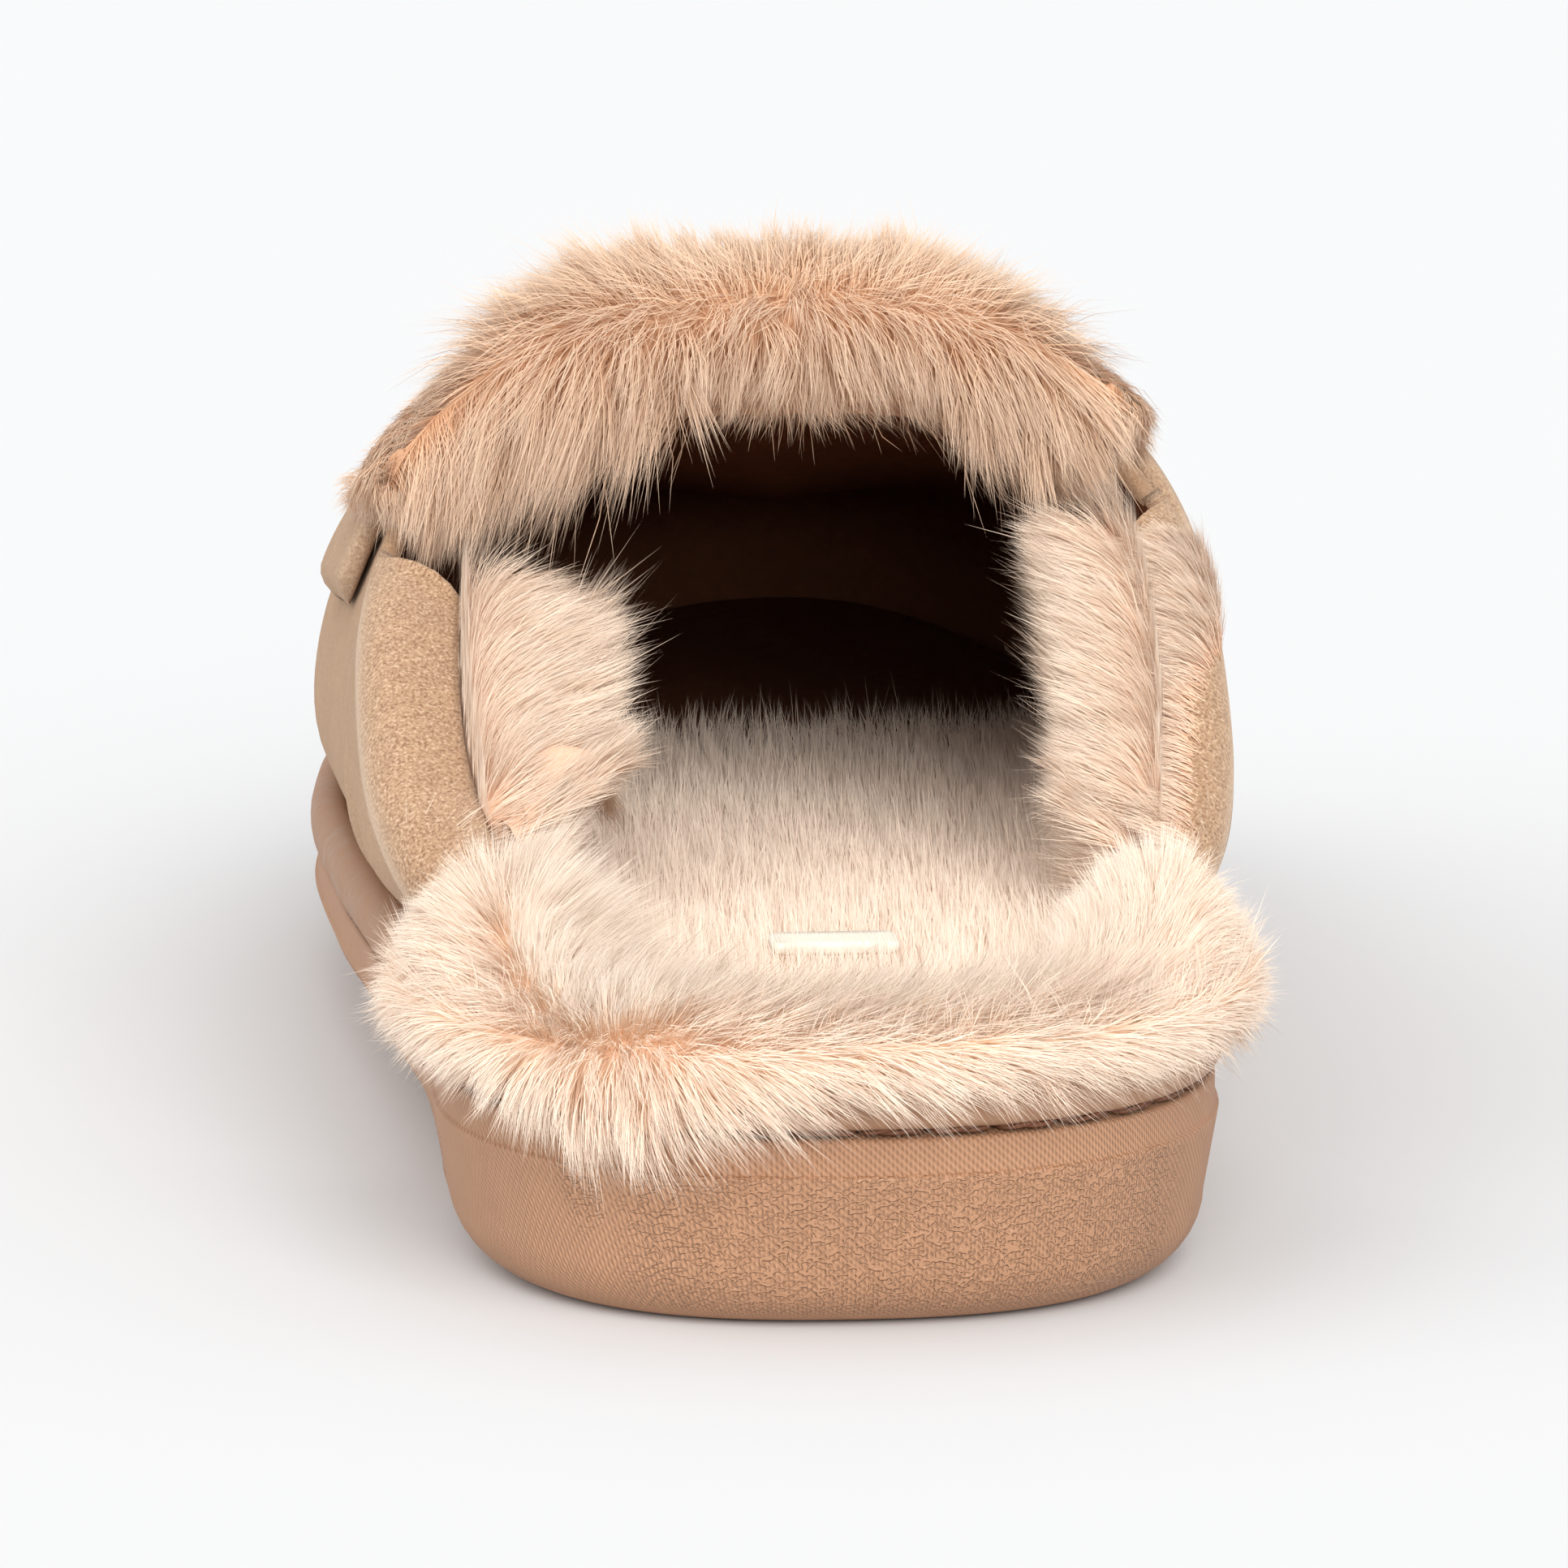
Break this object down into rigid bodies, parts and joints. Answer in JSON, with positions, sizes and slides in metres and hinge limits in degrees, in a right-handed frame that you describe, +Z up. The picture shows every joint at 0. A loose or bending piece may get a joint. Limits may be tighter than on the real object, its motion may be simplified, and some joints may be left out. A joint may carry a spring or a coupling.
{
  "type": "house slipper",
  "caption": "Slip-on house slipper for the left foot: moulded sole, stitched welt, hollow suede upper open at the heel, instep strap and deep pile at cuff, quarters and heel.",
  "frame": {"origin": "middle of the underside of the whole slipper's box, on the floor", "axes": "+Y along the heel axis from heel to toe, +X towards the inner side of the foot, +Z up"},
  "size_m": [0.1026, 0.2714, 0.0932],
  "materials": {
    "sole_rubber": "satin, embossed",
    "welt_rubber": "satin, smooth",
    "insole_pile": "pile",
    "suede": "napped",
    "strap_suede": "napped",
    "cuff_pile": "deep pile",
    "lining_pile": "deep pile",
    "heel_pile": "deep pile"
  },
  "bodies": {
    "root": {"outsole": "sole_rubber", "welt": "welt_rubber", "insole": "insole_pile", "upper": "suede", "instep_strap": "strap_suede", "cuff_fur": "cuff_pile", "lining_lateral": "lining_pile", "lining_medial": "lining_pile", "heel_collar_fur": "heel_pile"}
  },
  "joints": []
}
